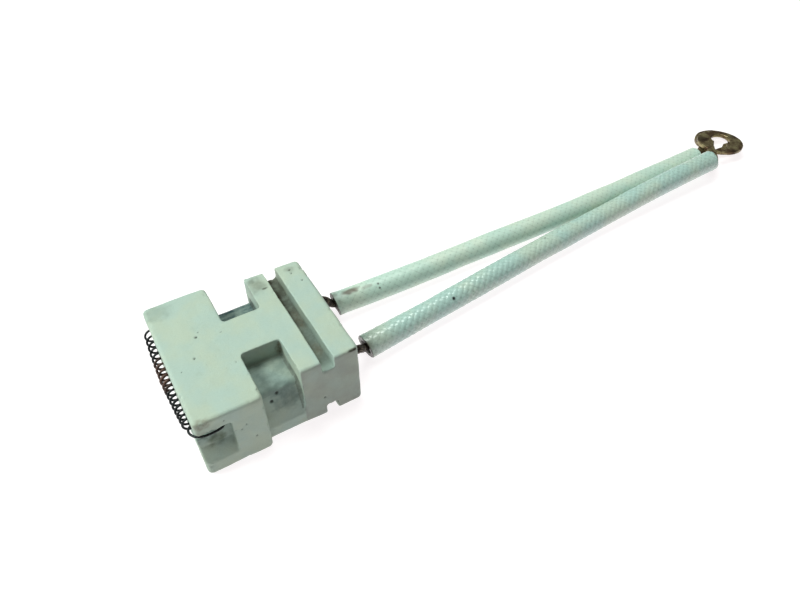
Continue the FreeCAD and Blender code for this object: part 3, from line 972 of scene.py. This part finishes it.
def build_sleeve(name):
    """Braided tube with its own bore and ragged ends: one closed surface of rings, out of the bore and back."""
    finish = SLEEVES[name]
    skin = SleeveSkin(name, finish["seed"])
    outer = skin.radius(finish["relief"])
    lining = skin.lining()
    first_lip = skin.lip(0, -1.0, outer)
    last_lip = skin.lip(len(skin.line) - 1, 1.0, outer)
    stack = np.concatenate([lining[::-1], first_lip[::-1], skin.shell(outer), last_lip])
    around = SLEEVE_AROUND
    last = (len(stack) - 1) * around
    j = np.arange(around)
    closing = np.stack([last + j, last + (j + 1) % around, (j + 1) % around, j], axis=1)
    faces = np.concatenate([tube_faces(len(stack), around), closing])
    piece = mesh_object(name + "_braided_sleeve", stack.reshape(-1, 3), faces)

    def whole(values, before, after):
        """Values for the skin, with one for the rings that come before it and one for those after."""
        ahead = np.full((len(lining) + len(first_lip)) * around, before)
        return np.concatenate([ahead, values.ravel(), np.full(len(last_lip) * around, after)])

    set_attribute(piece, "yarn", whole(skin.height, 0.1, 0.1))
    set_attribute(piece, "soil", whole(skin.soil(finish["soil"]), 0.0, 0.0))
    set_attribute(piece, "speck", whole(skin.specks(finish["specks"]), 0.0, 0.0))
    # The bore wall and the end lips get painted shade, fullest in the bore and at the block end.
    set_attribute(piece, "cut", whole(skin.cut(), 1.0, 0.5))
    paint = sleeve_paint(name + "_sleeve_yarn", finish["gloss"], finish["tones"])
    stand_in(piece, name + "_lead_sleeve", paint)


def build_terminal(name):
    """Stamped open ring and crimp barrel with soft stamped edges."""
    points, quads, normal = softened(name + "_hook_terminal", 0.075, 9)
    push = 0.03 + 0.02 * value_noise(points, 1.2, 31) + 0.006 * value_noise(points, 0.3, 32)
    piece = mesh_object(name + "_open_ring", points + normal * push[:, None], quads)
    set_attribute(piece, "dark", 0.7 * smoothstep(0.1, 0.7, value_noise(points, 2.2, 33)))
    stand_in(piece, name + "_hook_terminal", terminal_paint())
    return piece


def build_cement(name):
    """The plug that fills the bore's mouth, rough where it faces out."""
    points, quads, normal = softened(name + "_cement_plug", 0.07, 2)
    push = np.clip(normal[:, 0], 0, 1) * (0.05 + 0.05 * value_noise(points, 0.35, 41))
    piece = mesh_object(name + "_cement", points + normal * push[:, None], quads)
    stand_in(piece, name + "_cement_plug", cement_paint())


def finish_ferrules():
    """The CAD ferrules stay as they are, in a better material."""
    finish = ferrule_paint()
    for name in SIDES:
        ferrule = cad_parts[name + "_splice_ferrule"]
        ferrule.data.materials.clear()
        ferrule.data.materials.append(finish)


for lead in SIDES:
    build_conductor(lead, build_terminal(lead))
    build_cement(lead)
for lead in SIDES:
    build_sleeve(lead)
finish_ferrules()


# ---------------------------------------------------------------- floor, light and camera

FLOOR_HALF = 900.0
FLOOR_MIDDLE = 50.0
FLOOR_DROP = 0.02
LAMP_TINT = (0.93, 1.0, 0.95)
WORLD_TINT = (1.0, 0.92, 0.93, 1)
WORLD_STRENGTH = 0.08


def build_floor():
    """A wide level square a hair below the block's foot."""
    low, high = FLOOR_MIDDLE - FLOOR_HALF, FLOOR_MIDDLE + FLOOR_HALF
    corners = [(low, -FLOOR_HALF), (high, -FLOOR_HALF), (high, FLOOR_HALF), (low, FLOOR_HALF)]
    points = [(x, y, -FLOOR_DROP) for x, y in corners]
    floor = mesh_object("floor", points, [(0, 1, 2, 3)], smooth=False)
    floor.data.materials.append(floor_paint())


def area_light(name, place, target, size, power):
    """A round soft light at place, turned to target. These are in metres, and the power is in watts."""
    data = bpy.data.lights.new(name, "AREA")
    data.shape = "DISK"
    data.size = size
    data.energy = power
    data.color = LAMP_TINT
    lamp = collect(data, name)
    lamp.location = place
    lamp.rotation_mode = "QUATERNION"
    lamp.rotation_quaternion = (Vector(target) - Vector(place)).to_track_quat("-Z", "Y")


def build_light():
    world = bpy.data.worlds.new("studio")
    world.use_nodes = True
    background = world.node_tree.nodes["Background"]
    background.inputs["Color"].default_value = WORLD_TINT
    background.inputs["Strength"].default_value = WORLD_STRENGTH
    bpy.context.scene.world = world
    area_light("key", (-0.33, 0.12, 0.38), (0.02, 0, 0), 0.26, 2.6)
    area_light("overhead", (0.08, 0.14, 0.5), (0.05, 0, 0), 0.30, 1.6)


def build_camera():
    """Stands above the near side and looks towards the leads, as fitted to the block's edges in the photo."""
    data = bpy.data.cameras.new("camera")
    data.sensor_width = 36
    data.lens = 30.77
    data.clip_start = 0.002
    camera = collect(data, "camera")
    right = Vector((0.8659, -0.5002, -0.0094)).normalized()
    forward = Vector((0.3471, 0.6142, -0.7087)).normalized()
    up = right.cross(forward).normalized()
    turn = Matrix((right, up, -forward)).transposed().to_4x4()
    place = Vector((FRONT - 1.29, -65.21, 80.23)) * MM
    camera.matrix_world = Matrix.Translation(place) @ turn
    bpy.context.scene.camera = camera


build_floor()
build_light()
build_camera()
bpy.context.scene.view_settings.view_transform = "Standard"
